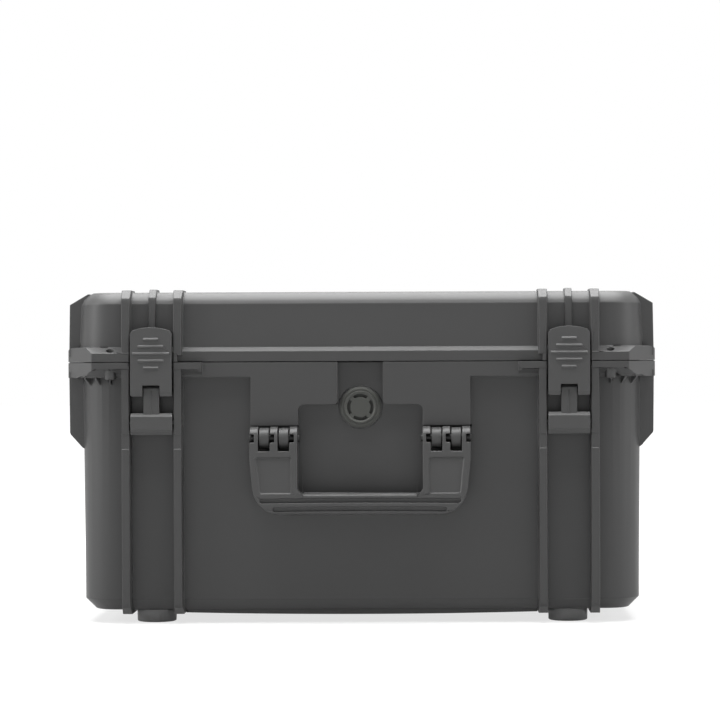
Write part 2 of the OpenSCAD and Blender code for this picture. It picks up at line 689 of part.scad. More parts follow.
// Handle seen from the side: round at the pivot, thicker at the grip.
function handle_side() = let (low = pivot_z - handle_len, f = handle_reach) rounded(concat(
    [for (p = arc([handle_out, pivot_z], finger_r, 0, 180, 12)) [p[0], p[1], 0]],
    [[handle_out - finger_r + 1.5, pivot_z - 14, 3], [6, low + grip_h + 4, 6], [4.5, low + 8, 4],
     [4.5, low, 6], [f, low, 7], [f, low + grip_h - 2, 6]]), 4);

// Front face of the arms, set back by d.
function arm_face(d) = let (z = pivot_z - handle_len + grip_h - 2)
    [[handle_out + finger_r - d, pivot_z], [60, pivot_z], [60, z], [handle_reach - d, z]];

// Groove with round ends and a slight bow: half length x, middle height z, width h.
function groove(x, z, h, bow = 0.6, n = 8) = concat(
    arc([x - h / 2, z], h / 2, -90, 90, 6),
    [for (i = [n - 1:-1:1 - n]) [(x - h / 2) * i / n, z + h / 2 + bow * (1 - i * i / n / n)]],
    arc([h / 2 - x, z], h / 2, 90, 270, 6),
    [for (i = [1 - n:n - 1]) [(x - h / 2) * i / n, z - h / 2 + bow * (1 - i * i / n / n)]]);

// Opening in the front of a finger, as high as the pin behind it.
module window()
    block(-window_w / 2, window_w / 2, handle_out, 40, pivot_z - handle_pin_r, pivot_z + handle_pin_r);

module carry_handle() color("#454748") on_front() difference() {
    low = pivot_z - handle_len;
    room = pivot_z - finger_r - finger_room;
    slot = knuckle_w + 2 * knuckle_gap;
    intersection() {
        outward(handle_outline(), 0, 40);
        across(handle_side(), 2 * handle_x + 2);
    }
    for (s = [-1, 1], k = [0, 1]) let (x = s * (knuckle_x + k * knuckle_pitch)) {
        // room for a knuckle between two fingers
        block(x - slot / 2, x + slot / 2, -1, 40, room, pivot_z + 20);
        // window that shows the pin in the finger on the inner side of the knuckle
        translate([x - s * (slot / 2 + window_w / 2 - 0.1), 0, 0])
            window();
    }
    both_sides(handle_x - window_w / 2 + 0.1) window();
    // shallow panels on the arms
    for (s = [-1, 1]) intersection() {
        across(arm_face(panel_d), 2 * handle_x);
        outward([for (p = rounded([
            [grip_x + 5.8, pivot_z - 17.8, 1.2], [handle_x - 6, pivot_z - 17.8, 1.2],
            [handle_x - 9.4, low + 20, 2.5], [grip_x + 5.8, low + 20, 1.2]], 3)) [s * p[0], p[1]]], 0, 60);
    }
    // grip lines
    outward(groove(handle_x - 9.4, low + 13.1, 4.1), handle_reach - groove_d, 60);
    outward(groove(handle_x - 21.7, low + 5.4, 4.1), handle_reach - groove_d, 60);
    // rounded upper edges of the grip
    for (u = [4.5, handle_reach]) let (c = u + (u > 10 ? -grip_edge : grip_edge)) difference() {
        block(5 - grip_x, grip_x - 5, min(u, c) - 0.5, max(u, c) + 0.5,
            low + grip_h - grip_edge, low + grip_h + 1);
        rod(c, low + grip_h - grip_edge, grip_edge, 2 * grip_x);
    }
    for (s = [-1, 1]) translate([s * (grip_x + handle_x) / 2, 0, 0])
        rod(handle_out, pivot_z, handle_pin_r + turn_fit, 60);
}

// Pin of the handle, its ends rounded.
module handle_pin(s) on_front() translate([s * (grip_x + handle_x - 0.7) / 2, -handle_out, pivot_z])
    rotate([0, 90, 0]) {
        h = (handle_x - grip_x + 3.3) / 2;
        rotate_extrude() polygon([[0, -h], [handle_pin_r - 1.2, -h], [handle_pin_r - 0.35, -h + 0.4],
            [handle_pin_r, -h + 1.2], [handle_pin_r, h - 1.2], [handle_pin_r - 0.35, h - 0.4],
            [handle_pin_r - 1.2, h], [0, h]]);
    }
module handle_pin_left() color("#2d2e2f") handle_pin(-1);
module handle_pin_right() color("#2d2e2f") handle_pin(1);

// ---------------------------------------------------------------- valve

// Frame of the valve: z points out of the front wall.
module at_valve() on_front() translate([0, 0, valve_z]) rotate([90, 0, 0]) children();

module valve_body() color("#4a4b48") at_valve() difference() {
    union() {
        translate([0, 0, 1]) cylinder(r = valve_r, h = 2.2);
        translate([0, 0, 3]) cylinder(r1 = valve_r - 1, r2 = cap_r + 1.5, h = 1.2);
        translate([0, 0, nut_z - 1.4]) cylinder(r = neck_r, h = 3.4 - nut_z);
    }
    // breathing hole behind the membrane
    translate([0, 0, nut_z - 2]) cylinder(r = breath_r, h = 20 - nut_z);
    translate([0, 0, 2]) cylinder(r = 10, h = 10);
}

module valve_cap() color("#4d4e4a") at_valve() difference() {
    union() {
        translate([0, 0, 4.2]) cylinder(r = cap_r, h = 1.6);
        translate([0, 0, 5.6]) cylinder(r1 = cap_r, r2 = cap_r - 1.2, h = 1.2);
        translate([0, 0, 2]) cylinder(r = 9.9, h = 3);
    }
    for (a = [0:90:270]) rotate([0, 0, a - vent_angle / 2]) vent();
    translate([0, 0, 1]) cylinder(r = 8, h = 2.6);
}

// One curved vent slot of the cap.
module vent() translate([0, 0, 3]) rotate_extrude(angle = vent_angle) translate([10.6, 0]) square([2, 8]);

module valve_membrane() color("#e6e6e2") at_valve() translate([0, 0, 2]) cylinder(r = 7.8, h = 0.5);

module valve_seal() color("#1b1c1c") at_valve() difference() {
    translate([0, 0, 0.6]) cylinder(r = 13, h = 0.4);
    translate([0, 0, 0]) cylinder(r = 8.4, h = 2);
}

module valve_nut() color("#3b3d3e") at_valve() difference() {
    translate([0, 0, nut_z]) cylinder(r = 13.5, h = nut_h, $fn = 6);
    translate([0, 0, nut_z - 1]) cylinder(r = neck_r + held_fit, h = nut_h + 2);
}

// ---------------------------------------------------------------- feet

foot_y = body_half_y - floor_bevel + base_u(foot_h) - foot_w / 2 - 1;
foot_spots = [for (sy = [-1, 1], sx = [-1, 1]) [sx * latch_x, body_y + sy * foot_y]];

// Round foot with a stud that sits in the floor of the case.
module foot(p) translate([p[0], p[1], 0]) rotate_extrude($fn = 64)
    polygon([[0, 0], [foot_w / 2 - 1.6, 0], [foot_w / 2 - 0.6, 0.4], [foot_w / 2 - 0.2, 1.2],
             [foot_w / 2, foot_h], [stud_r, foot_h], [stud_r, foot_h + stud_h], [0, foot_h + stud_h]]);
module foot_front_left() color("#2a2b2b") foot(foot_spots[0]);
module foot_front_right() color("#2a2b2b") foot(foot_spots[1]);
module foot_rear_left() color("#2a2b2b") foot(foot_spots[2]);
module foot_rear_right() color("#2a2b2b") foot(foot_spots[3]);

// ---------------------------------------------------------------- nodes

base_shell();
lid_shell();
lid_seal();
latch_lever_left();
latch_lever_right();
latch_link_left();
latch_link_right();
lever_pin_left();
lever_pin_right();
link_pin_left();
link_pin_right();
hinge_pin_left();
hinge_pin_right();
carry_handle();
handle_pin_left();
handle_pin_right();
valve_body();
valve_cap();
valve_membrane();
valve_seal();
valve_nut();
foot_front_left();
foot_front_right();
foot_rear_left();
foot_rear_right();
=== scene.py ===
"""Looks of a watertight hard tool case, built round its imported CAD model.

The moulded parts are shown as their CAD solids with the small edge radii that a mould leaves, in
a satin moulded finish. The body and the cap of the valve are turned again, with open slots. The
pins, the seals and the membrane keep their CAD meshes and only get a finish.
"""
import logging
import math
from collections.abc import Callable
from dataclasses import dataclass
from enum import Enum

import bmesh
import bpy
import numpy as np
from mathutils import Matrix, Vector


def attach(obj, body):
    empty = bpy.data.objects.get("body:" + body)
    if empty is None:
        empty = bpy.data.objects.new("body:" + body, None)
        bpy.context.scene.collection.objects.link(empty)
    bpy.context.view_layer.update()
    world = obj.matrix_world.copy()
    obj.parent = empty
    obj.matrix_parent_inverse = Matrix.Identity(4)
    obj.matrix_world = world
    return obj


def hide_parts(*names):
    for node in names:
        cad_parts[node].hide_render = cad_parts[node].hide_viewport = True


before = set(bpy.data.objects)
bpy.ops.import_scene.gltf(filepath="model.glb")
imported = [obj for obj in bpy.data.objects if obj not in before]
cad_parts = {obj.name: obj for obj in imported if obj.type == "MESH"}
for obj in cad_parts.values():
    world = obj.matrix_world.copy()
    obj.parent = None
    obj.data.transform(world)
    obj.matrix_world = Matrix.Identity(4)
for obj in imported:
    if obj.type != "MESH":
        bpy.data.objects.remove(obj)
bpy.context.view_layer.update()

LOG = logging.getLogger("tool_case")
MM = 0.001
WHITE = (1.0, 1.0, 1.0, 1.0)


# ------------------------------------------------------------------ colour and node helpers


def linear(colour: str) -> tuple[float, float, float, float]:
    """Turn an sRGB hex colour into linear RGBA.

    Args:
        colour: six hex digits after a hash sign.

    Returns:
        Red, green, blue and alpha, linear, each 0 to 1.
    """
    s = np.array([int(colour[i : i + 2], 16) for i in (1, 3, 5)]) / 255.0
    lin = np.where(s <= 0.04045, s / 12.92, ((s + 0.055) / 1.055) ** 2.4)
    return (float(lin[0]), float(lin[1]), float(lin[2]), 1.0)


def shaded(tone: tuple[float, float, float, float], share: float) -> tuple[float, float, float, float]:
    """Make a linear colour lighter or darker by a share of itself, from -1 up."""
    return tuple(min(1.0, c * (1.0 + share)) for c in tone[:3]) + (1.0,)


def grey(level: float) -> tuple[float, float, float, float]:
    """Give the linear RGBA of a neutral grey."""
    return (level, level, level, 1.0)


def add(tree: bpy.types.NodeTree, kind: str, links: dict | None = None, **settings: object) -> bpy.types.Node:
    """Add one node with its settings and its links.

    Args:
        tree: node tree of a material or the world.
        kind: type name of the node.
        links: input name or index to an output socket.
        settings: attributes of the node, or input values where the node has no such attribute.

    Returns:
        The new node.
    """
    node = tree.nodes.new(kind)
    for key, value in settings.items():
        if hasattr(node, key):
            setattr(node, key, value)
        else:
            node.inputs[key.replace("_", " ")].default_value = value
    for key, socket in (links or {}).items():
        tree.links.new(socket, node.inputs[key])
    return node


def fresh(name: str) -> tuple[bpy.types.Material, bpy.types.NodeTree, bpy.types.Node]:
    """Make an empty node material.

    Args:
        name: name of the material.

    Returns:
        The material, its node tree and its output node.
    """
    mat = bpy.data.materials.new(name)
    mat.use_nodes = True
    mat.node_tree.nodes.clear()
    return mat, mat.node_tree, add(mat.node_tree, "ShaderNodeOutputMaterial")


def seen(tree: bpy.types.NodeTree) -> bpy.types.NodeSocket:
    """Tell where the camera sees a surface, straight on or in a gloss or through glass.

    Args:
        tree: node tree of the floor or the world.

    Returns:
        Socket that is 1 on camera, glossy and transmission rays, and 0 on the rays that light.
    """
    ray = add(tree, "ShaderNodeLightPath").outputs
    pair = add(
        tree, "ShaderNodeMath", {0: ray["Is Camera Ray"], 1: ray["Is Glossy Ray"]}, operation="MAXIMUM"
    )
    full = add(
        tree, "ShaderNodeMath", {0: pair.outputs[0], 1: ray["Is Transmission Ray"]}, operation="MAXIMUM"
    )
    return full.outputs[0]


# ------------------------------------------------------------------ finishes


@dataclass(frozen=True)
class MouldedPlastic:
    """Injection-moulded plastic from a spark-eroded mould: an even satin with a very fine grain."""

    name: str
    colour: str
    roughness: float = 0.46
    spread: float = 0.05  # how far the grain moves the roughness to either side
    grain_mm: float = 0.9
    grain_depth_mm: float = 0.012
    grain_strength: float = 0.6
    cloud_mm: float = 90.0
    cloud: float = 0.05  # how far the flow clouds move the colour, as a share of it
    specular: float = 0.35
    ior: float = 1.49

    def build(self) -> bpy.types.Material:
        """Make the material: base colour with faint flow clouds, grain in bump and in roughness.

        Returns:
            The material.
        """
        mat, tree, out = fresh(self.name)
        place = add(tree, "ShaderNodeTexCoord").outputs["Object"]
        clouds = add(
            tree, "ShaderNodeTexNoise", {"Vector": place}, Scale=1.0 / (self.cloud_mm * MM), Detail=2.0
        )
        tone = linear(self.colour)
        colour = add(tree, "ShaderNodeMix", {"Factor": clouds.outputs["Fac"]}, data_type="RGBA")
        colour.inputs[6].default_value = shaded(tone, -self.cloud)
        colour.inputs[7].default_value = shaded(tone, self.cloud)
        # the eroded grain is about 0.1 mm wide, drawn coarser here so that it shows as a soft tooth
        grain = add(
            tree, "ShaderNodeTexNoise", {"Vector": place}, Scale=1.0 / (self.grain_mm * MM), Detail=3.0
        )
        rough = add(
            tree, "ShaderNodeMapRange", {"Value": grain.outputs["Fac"]},
            To_Min=self.roughness - self.spread, To_Max=self.roughness + self.spread,
        )
        bump = add(
            tree, "ShaderNodeBump", {"Height": grain.outputs["Fac"]},
            Strength=self.grain_strength, Distance=self.grain_depth_mm * MM,
        )
        shader = add(
            tree, "ShaderNodeBsdfPrincipled",
            {
                "Base Color": colour.outputs[2],
                "Roughness": rough.outputs["Result"],
                "Normal": bump.outputs["Normal"],
            },
            IOR=self.ior, Specular_IOR_Level=self.specular,
        )
        tree.links.new(shader.outputs["BSDF"], out.inputs["Surface"])
        return mat


@dataclass(frozen=True)
class MouldedRubber:
    """Moulded rubber: duller than the shells, with a dusty fine grain and a faint bloom."""

    name: str
    colour: str
    roughness: float = 0.72
    spread: float = 0.06
    bloom_mm: float = 15.0
    bloom: float = 0.25  # how much lighter the bloom is, as a share of the colour
    grain_mm: float = 0.6
    grain_depth_mm: float = 0.02
    grain_strength: float = 0.5
    ior: float = 1.52

    def build(self) -> bpy.types.Material:
        """Make the material: fine grain in bump, bloom in patches in colour and roughness.

        Returns:
            The material.
        """
        mat, tree, out = fresh(self.name)
        place = add(tree, "ShaderNodeTexCoord").outputs["Object"]
        bloom = add(
            tree, "ShaderNodeTexNoise", {"Vector": place}, Scale=1.0 / (self.bloom_mm * MM), Detail=4.0
        )
        tone = linear(self.colour)
        colour = add(tree, "ShaderNodeMix", {"Factor": bloom.outputs["Fac"]}, data_type="RGBA")
        colour.inputs[6].default_value = tone
        colour.inputs[7].default_value = shaded(tone, self.bloom)
        grain = add(
            tree, "ShaderNodeTexNoise", {"Vector": place}, Scale=1.0 / (self.grain_mm * MM), Detail=2.0
        )
        bump = add(
            tree, "ShaderNodeBump", {"Height": grain.outputs["Fac"]},
            Strength=self.grain_strength, Distance=self.grain_depth_mm * MM,
        )
        rough = add(
            tree, "ShaderNodeMapRange", {"Value": bloom.outputs["Fac"]},
            To_Min=self.roughness - self.spread, To_Max=self.roughness + self.spread,
        )
        shader = add(
            tree, "ShaderNodeBsdfPrincipled",
            {
                "Base Color": colour.outputs[2],
                "Roughness": rough.outputs["Result"],
                "Normal": bump.outputs["Normal"],
            },
            IOR=self.ior,
        )
        tree.links.new(shader.outputs["BSDF"], out.inputs["Surface"])
        return mat


@dataclass(frozen=True)
class DrawnSteel:
    """Stainless rod, drawn through a die: bright, with fine lines along its length (x)."""

    name: str
    colour: str = "#b9bbbd"
    roughness: float = 0.28
    smoother: float = 0.08
    rougher: float = 0.1
    line_long_mm: float = 25.0
    line_wide_mm: float = 0.4  # the real lines are finer, drawn as coarse as they need to show

    def build(self) -> bpy.types.Material:
        """Make the material: metal whose drawing lines stretch along x and vary the roughness.

        Returns:
            The material.
        """
        mat, tree, out = fresh(self.name)
        place = add(tree, "ShaderNodeTexCoord").outputs["Object"]
        along, across = 1.0 / (self.line_long_mm * MM), 1.0 / (self.line_wide_mm * MM)
        stretch = add(tree, "ShaderNodeMapping", {"Vector": place}, Scale=(along, across, across))
        lines = add(tree, "ShaderNodeTexNoise", {"Vector": stretch.outputs["Vector"]}, Scale=1.0, Detail=2.0)
        rough = add(
            tree, "ShaderNodeMapRange", {"Value": lines.outputs["Fac"]},
            To_Min=self.roughness - self.smoother, To_Max=self.roughness + self.rougher,
        )
        shader = add(
            tree, "ShaderNodeBsdfPrincipled", {"Roughness": rough.outputs["Result"]},
            Base_Color=linear(self.colour), Metallic=1.0,
        )
        tree.links.new(shader.outputs["BSDF"], out.inputs["Surface"])
        return mat


class Finish(Enum):
    """The finishes of the case."""

    SHELL = MouldedPlastic("moulded_polypropylene_satin_charcoal", "#3c3c3c", roughness=0.44)
    LATCH = MouldedPlastic("moulded_nylon_satin_latch", "#424242", roughness=0.42)
    HANDLE = MouldedPlastic("moulded_nylon_satin_handle", "#3f3f3f", roughness=0.40)
    PIN = MouldedPlastic("moulded_nylon_black_pin", "#1e1e1e", roughness=0.38)
    VALVE = MouldedPlastic("moulded_nylon_olive_grey_valve", "#3d3e3b", roughness=0.46)
    MEMBRANE = MouldedPlastic("pressed_membrane_white", "#dcdcd6", roughness=0.8, grain_mm=0.4)
    SEAL = MouldedRubber("extruded_rubber_black_seal", "#1c1d1d")
    FOOT = MouldedRubber("moulded_rubber_grey_foot", "#7c7c7c", roughness=0.6)
    STEEL = DrawnSteel("drawn_stainless_rod")


_made: dict[Finish, bpy.types.Material] = {}


def dress(obj: bpy.types.Object, finish: Finish) -> None:
    """Give a piece one finish in all of its slots.

    Args:
        obj: CAD node or new piece.
        finish: finish to give it.
    """
    if finish not in _made:
        _made[finish] = finish.value.build()
    obj.data.materials.clear()
    obj.data.materials.append(_made[finish])


# ------------------------------------------------------------------ sizes of the case


@dataclass(frozen=True)
class CaseSizes:
    """Sizes of the CAD model that the dressing lines up with, in millimetres.

    An offset is a distance out of the front wall, from its line at the parting.
    """

    front_y: float = -186.0  # front wall at the parting
    body_x: float = 263.7  # half width of the walls
    body_y: float = 2.0  # middle of the walls in y
    body_half_y: float = 188.0  # half depth of the walls
    corner_r: float = 35.0  # upright corners, seen from above
    parting_z: float = 244.1  # rim of the base
    latch_x: float = 194.3  # middle of a latch
    rib_half: float = 24.2  # from there to the ribs beside it
    pocket_x: float = 22.2  # half width cut out of flange and collar at a latch
    collar_reach: float = 7.4  # offset of the collar
    collar_low: float = 229.8  # its lower edge
    flange_edge: float = 256.17  # front edge of the flange where it is cut back to the collar
    recess_x: float = 21.1  # half width of the recess over the valve
    base_draft: float = 0.5  # lean of the base walls in degrees
    foot_h: float = 12.2  # underside of the base above the ground
    floor_bevel: float = 10.0  # size of the bowed edge round that underside
    lever_face: float = 16.8  # offset of a lever's flat face
    lever_top: float = 276.9
    pin_out: float = 9.5  # offset of the latch pins
    link_z: float = 188.1  # height of the link pin
    valve_z: float = 201.9

    def base_u(self, z: np.ndarray) -> np.ndarray:
        """Give the offset of the drafted base wall at a height."""
        return -(self.parting_z - z) * math.tan(math.radians(self.base_draft))


CASE = CaseSizes()


def near(values: np.ndarray, target: float | np.ndarray, within: float = 0.04) -> np.ndarray:
    """Tell which values lie at a target.

    Args:
        values: numbers to test.
        target: number to find, or one for each value.
        within: how far off they may be.

    Returns:
        True where a value is that near.
    """
    return np.abs(values - target) < within


def between(values: np.ndarray, low: float, high: float, slack: float) -> np.ndarray:
    """Tell which values lie in a range.

    Args:
        values: numbers to test.
        low: lower end of the range.
        high: upper end of the range.
        slack: how far past either end they may be.

    Returns:
        True where a value is in the range.
    """
    return (values > low - slack) & (values < high + slack)


def height_on(line: tuple[tuple[float, float], tuple[float, float]], offset: float) -> float:
    """Give the height of a straight line through two points [offset, height] at an offset."""
    (u0, z0), (u1, z1) = line
    return z0 + (offset - u0) * (z1 - z0) / (u1 - u0)


# ------------------------------------------------------------------ moulded edges

ROUND_STEPS = 2  # segments of a rounded edge
CREASE_DEG = 24.0  # creases over this angle are rounded
FLAT_WEIGHT = 60  # how far the normals lean towards the larger face


def round_edges(obj: bpy.types.Object, radius_mm: float) -> None:
    """Round the creases of a piece, keeping its flats flat.

    Args:
        obj: new piece.
        radius_mm: width of the round.
    """
    obj.data.shade_smooth()
    bevel = obj.modifiers.new("mould_radius", "BEVEL")
    bevel.width = radius_mm * MM
    bevel.segments = ROUND_STEPS
    bevel.limit_method = "ANGLE"
    bevel.angle_limit = math.radians(CREASE_DEG)
    bevel.use_clamp_overlap = False
    bevel.miter_outer = "MITER_ARC"
    smooth = obj.modifiers.new("flat_faces", "WEIGHTED_NORMAL")
    smooth.mode = "FACE_AREA"
    smooth.weight = FLAT_WEIGHT


def show(
    mesh: bpy.types.Mesh, name: str, stands_for: str, body: str, finish: Finish, radius_mm: float
) -> None:
    """Make a mesh the piece that stands for a CAD node: linked, rounded, dressed and riding.

    Args:
        mesh: closed mesh in metres, with its faces outwards.
        name: name of the piece.
        stands_for: CAD node that it replaces.
        body: body that it rides on.
        finish: finish to give it.
        radius_mm: width of its rounded edges.
    """
    obj = bpy.data.objects.new(name, mesh)
    bpy.context.scene.collection.objects.link(obj)
    round_edges(obj, radius_mm)
    dress(obj, finish)
    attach(obj, body)
    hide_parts(stands_for)
    LOG.info("made %s: %d faces", name, len(mesh.polygons))


@dataclass
class MouldedPiece:
    """A CAD solid shown with the edge radius that its mould leaves.

    The radius is a live Bevel on a merged copy, so every crease over the angle becomes a narrow
    round band, and the flats stay flat because normals are weighted by face area.
    """

    node: str
    body: str
    finish: Finish
    radius_mm: float
    flat_deg: float = 0.08  # faces that meet under this angle become one
    split: bool = True  # then they are cut into triangles again, which the bevel follows best
    trim: Callable[[np.ndarray], np.ndarray] | None = None
    weld_m: float = 2e-6

    def trimmed(self, mesh: bpy.types.Mesh) -> None:
        """Move the few points that the trim names, as columns x, offset and z in millimetres.

        Args:
            mesh: merged copy of the node, in metres.
        """
        flat = np.empty(len(mesh.vertices) * 3)
        mesh.vertices.foreach_get("co", flat)
        p = flat.reshape(-1, 3) / MM
        p[:, 1] = CASE.front_y - p[:, 1]
        p = self.trim(p)
        p[:, 1] = CASE.front_y - p[:, 1]
        mesh.vertices.foreach_set("co", (p * MM).ravel())
        mesh.update()

    def build(self) -> None:
        """Copy the node, merge its loose triangles, move its trimmed points and round its edges."""
        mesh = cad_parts[self.node].data.copy()
        bm = bmesh.new()
        bm.from_mesh(mesh)
        bmesh.ops.remove_doubles(bm, verts=bm.verts, dist=self.weld_m)
        if self.trim is not None:
            bm.to_mesh(mesh)
            self.trimmed(mesh)
            bm.clear()
            bm.from_mesh(mesh)
            bmesh.ops.remove_doubles(bm, verts=bm.verts, dist=self.weld_m)
        bmesh.ops.dissolve_degenerate(bm, edges=bm.edges, dist=self.weld_m)
        bmesh.ops.dissolve_limit(
            bm, angle_limit=math.radians(self.flat_deg), use_dissolve_boundaries=False,
            verts=bm.verts, edges=bm.edges,
        )
        if self.split:
            bmesh.ops.triangulate(bm, faces=bm.faces, quad_method="BEAUTY", ngon_method="BEAUTY")
        bm.to_mesh(mesh)
        bm.free()
        # normals stored with the node would hide the new rounds
        stored = mesh.attributes.get("custom_normal")
        if stored is not None:
            mesh.attributes.remove(stored)
        show(mesh, self.node + "_moulded", self.node, self.body, self.finish, self.radius_mm)


# ------------------------------------------------------------------ sub-assemblies


@dataclass
class Shells:
    """Base and lid, with the seal between them. Sizes in millimetres."""

    radius_mm: float = 0.6
    lid_flat_deg: float = 0.4
    rib_face: float = 20.65  # from the middle of a latch to the inner faces of its ribs
    plate_x: tuple[float, float] = (56.5, 104.2)  # plates over the fingers of the handle
    plate_low: float = 185.3
    plate_round: float = 1.0
    plate_back: float = -0.3
    plate_drop: float = 0.7
    slope_low: float = 254.4  # front edge of the flange over the handle, once it slopes at 45 degrees
    slope_past: float = 6.0  # how far that edge reaches past the middle of the inner rib
    # the bowed edge under the base: shares of its size in height, and in depth from the wall
    bow: tuple[tuple[float, float], ...] = ((0.0, 1.0), (0.21, 0.62), (0.58, 0.22), (1.0, 0.0))

    def build(self) -> None:
        """Round the edges of both shells and dress the seal."""
        MouldedPiece("base_shell", "base", Finish.SHELL, self.radius_mm, trim=self.base_trim).build()
        MouldedPiece(
            "lid_shell", "lid", Finish.SHELL, self.radius_mm,
            flat_deg=self.lid_flat_deg, split=False, trim=self.lid_trim,
        ).build()
        dress(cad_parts["lid_seal"], Finish.SEAL)

    def close_notch(self, p: np.ndarray, low: float) -> None:
        """Bring the flange beside a lever flush with the inner face of the rib.

        Args:
            p: points as x, offset and z, changed in place.
            low: height from which the flange is cut.
        """
        across = np.abs(p[:, 0]) - CASE.latch_x
        edge = near(np.abs(across), CASE.pocket_x) & (p[:, 2] > low)
        edge &= p[:, 1] > CASE.collar_reach - 0.1
        p[edge, 0] = np.sign(p[edge, 0]) * (CASE.latch_x + np.sign(across[edge]) * self.rib_face)

    def base_trim(self, p: np.ndarray) -> np.ndarray:
        """Flush the collar with the ribs and the recess, and lower the plates over the fingers.

        Args:
            p: points as x, offset and z.

        Returns:
            The moved points.
        """
        self.close_notch(p, CASE.collar_low)
        x, u, z = np.abs(p[:, 0]), p[:, 1], p[:, 2]
        ledge = near(z, CASE.collar_low) & near(u, 0.0) & (x < CASE.recess_x + 0.2)
        p[ledge, 1] = CASE.base_u(z[ledge])
        over = between(x, *self.plate_x, slack=0.0) & (u > self.plate_back)
        over &= between(z, self.plate_low, self.plate_low + self.plate_round, slack=0.05)
        p[over, 2] -= self.plate_drop
        return self.straight_bevel(p)

    def straight_bevel(self, p: np.ndarray) -> np.ndarray:
        """Turn the bowed edge under the base into one flat of 45 degrees.

        A point's offset from the rounded plan is its distance to the inner rectangle less the
        corner radius. Points on the bowed curve move along the outward direction to the line.

        Args:
            p: points as x, offset and z.

        Returns:
            The moved points.
        """
        y = CASE.front_y - p[:, 1] - CASE.body_y
        q = np.stack([np.abs(p[:, 0]) - CASE.body_x, np.abs(y) - CASE.body_half_y], axis=1) + CASE.corner_r
        out = np.maximum(q, 0.0)
        length = np.maximum(np.linalg.norm(out, axis=1), 1e-9)
        size, low = CASE.floor_bevel, CASE.foot_h
        wall = float(CASE.base_u(np.array(low + size)))
        rise, depth = np.array(self.bow).T
        bowed = np.interp(p[:, 2], low + rise * size, wall - depth * size)
        straight = wall - (low + size - p[:, 2])
        on = near(length - CASE.corner_r, bowed, 0.06) & between(p[:, 2], low, low + size, slack=0.01)
        shift = np.where(on, straight - bowed, 0.0)[:, None] * out / length[:, None]
        p[:, 0] += np.sign(p[:, 0]) * shift[:, 0]
        p[:, 1] -= np.sign(y) * shift[:, 1]
        return p

    def lid_trim(self, p: np.ndarray) -> np.ndarray:
        """Flush the flange with the ribs and slope its top over the handle at about 45 degrees.

        Args:
            p: points as x, offset and z.

        Returns:
            The moved points.
        """
        self.close_notch(p, CASE.parting_z)
        edge = near(p[:, 1], CASE.collar_reach) & near(p[:, 2], CASE.flange_edge, 0.1)
        edge &= np.abs(p[:, 0]) < CASE.latch_x - CASE.rib_half + self.slope_past
        p[edge, 2] = self.slope_low
        return p


@dataclass
class Latches:
    """The two over-centre latches: levers, links and pins. Sizes in millimetres."""

    radius_mm: float = 0.35
    # the bow that leads from a lever's flat face to its top, and the hollow behind that face
    bow_deep: float = 4.4
    bow_tall: float = 10.2
    hollow_deep: float = 3.0
    hollow_below: float = 6.9
    # a link's top facet from back to front, as [offset, height] from its pin
    facet: tuple[tuple[float, float], tuple[float, float]] = ((0.8, 9.0), (5.4, 5.9))
    facet_in: float = 1.8  # how far the back edge of the facet moves forwards
    facet_drop: float = 0.3  # how far its front edge moves down
    stem_out: float = 3.6  # front of the stem

    def build(self) -> None:
        """Round the levers and links and dress the pins."""
        for side in ("left", "right"):
            for part, trim in (("lever", self.lever_trim), ("link", self.link_trim)):
                MouldedPiece(
                    f"latch_{part}_{side}", f"{part}_{side}", Finish.LATCH, self.radius_mm, trim=trim
                ).build()
            for pin in ("lever_pin", "link_pin"):
                dress(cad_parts[f"{pin}_{side}"], Finish.PIN)
            dress(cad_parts[f"hinge_pin_{side}"], Finish.STEEL)

    def lever_trim(self, p: np.ndarray) -> np.ndarray:
        """Carry the flat face of a lever up to its bowed top.

        Args:
            p: points as x, offset and z.

        Returns:
            The moved points.
        """
        face, top = CASE.lever_face, CASE.lever_top
        slope = (p[:, 1] > face - self.bow_deep) & (p[:, 1] < face - 0.02) & (p[:, 2] > top - self.bow_tall)
        hollow = near(p[:, 1], face - self.hollow_deep) & (p[:, 2] < top - self.hollow_below)
        p[slope & ~hollow, 1] = face
        return p

    def link_trim(self, p: np.ndarray) -> np.ndarray:
        """Make the top of a link's cross bar a narrow steep facet.

        The stem's front meets the facet, so its points there rise to the new line.

        Args:
            p: points as x, offset and z.

        Returns:
            The moved points.
        """
        back, front = self.facet
        steeper = ((back[0] + self.facet_in, back[1]), (front[0], front[1] - self.facet_drop))
        meets = height_on(self.facet, self.stem_out)
        u, z = p[:, 1] - CASE.pin_out, p[:, 2] - CASE.link_z
        on_back, on_front = (near(u, end[0]) & near(z, end[1]) for end in (back, front))
        on_stem = near(u, self.stem_out) & near(z, meets, 0.06)
        p[on_back, 1] += self.facet_in
        p[on_front, 2] -= self.facet_drop
        p[on_stem, 2] += height_on(steeper, self.stem_out) - meets
        return p


@dataclass
class CarryHandle:
    """The folding handle and its two pins."""

    radius_mm: float = 0.8

    def build(self) -> None:
        """Round the handle and dress its pins."""
        MouldedPiece("carry_handle", "handle", Finish.HANDLE, self.radius_mm).build()
        for side in ("left", "right"):
            dress(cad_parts[f"handle_pin_{side}"], Finish.PIN)


